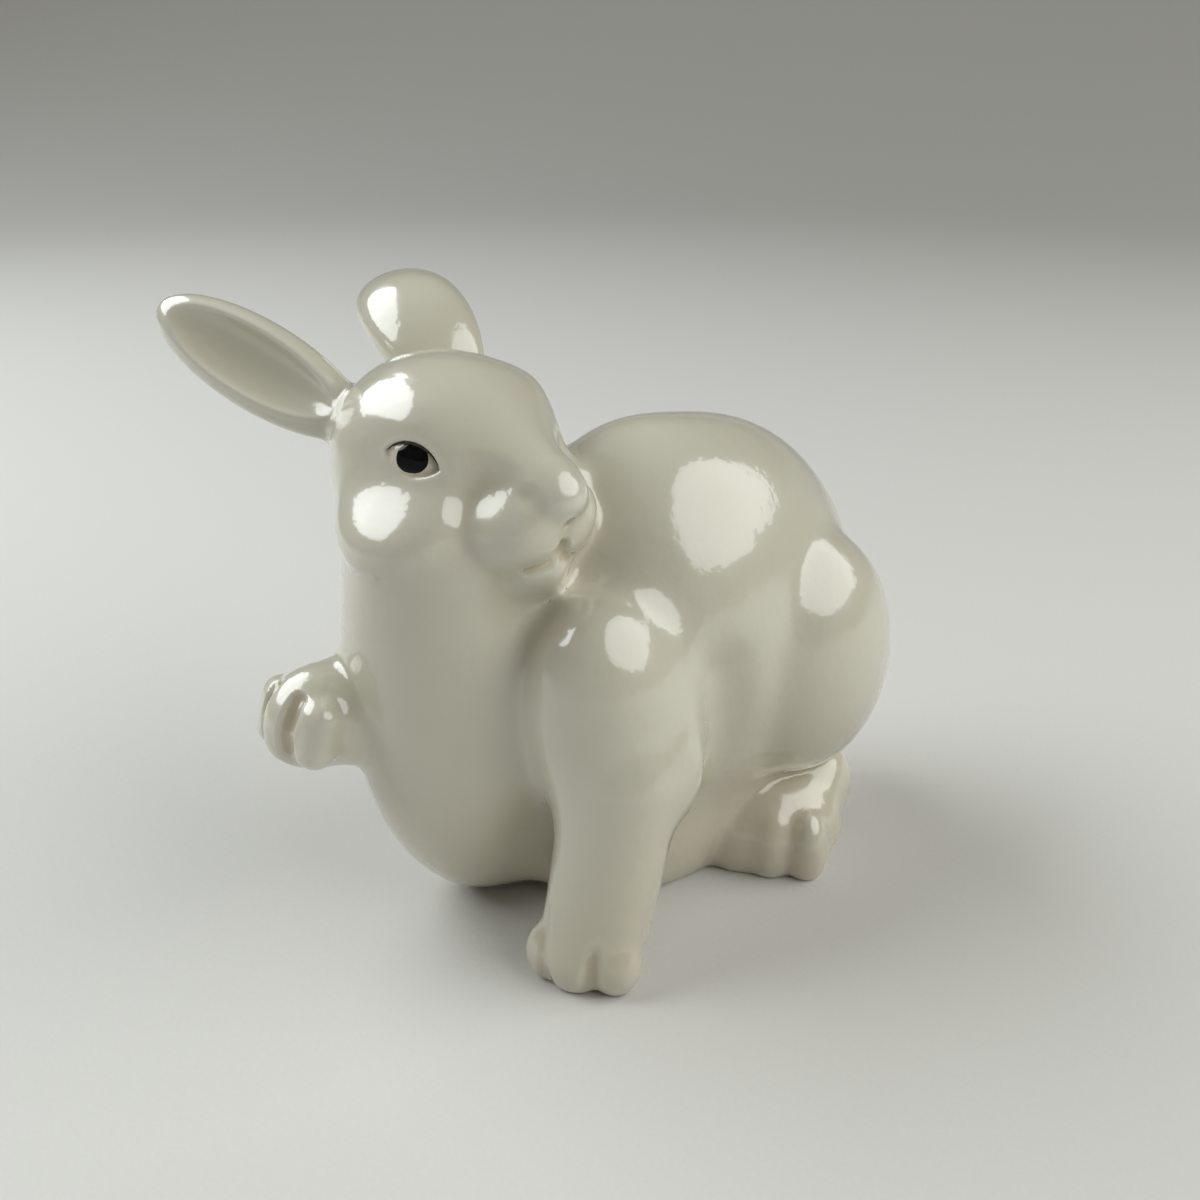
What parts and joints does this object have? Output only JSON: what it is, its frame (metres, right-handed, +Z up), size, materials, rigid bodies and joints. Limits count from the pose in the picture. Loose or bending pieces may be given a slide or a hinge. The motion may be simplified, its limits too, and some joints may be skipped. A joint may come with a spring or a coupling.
{
  "type": "ceramic rabbit figurine",
  "caption": "White glazed ceramic rabbit that sits with an arched back, looks over its shoulder and holds a forepaw raised, a free-standing shelf ornament.",
  "frame": {"origin": "middle of the flat base under the torso, on the surface that the figurine stands on", "axes": "+Z up, the rabbit's body faces -Y, its left side is +X and X = 0 is the body's plane of symmetry"},
  "size_m": [0.1045, 0.1355, 0.1211],
  "materials": {
    "white_glaze": "ivory white porcelain under a clear high-gloss glaze",
    "black_enamel": "gloss black overglaze enamel",
    "brown_enamel": "thin dark brown overglaze enamel, brushed on"
  },
  "bodies": {
    "root": {"torso": "white_glaze", "head": "white_glaze", "right_ear": "white_glaze", "left_ear": "white_glaze", "left_foreleg": "white_glaze", "right_foreleg": "white_glaze", "left_hind_foot": "white_glaze", "right_hind_foot": "white_glaze", "tail": "white_glaze", "right_pupil": "black_enamel", "left_pupil": "black_enamel", "right_lid_line": "brown_enamel", "left_lid_line": "brown_enamel"}
  },
  "joints": []
}
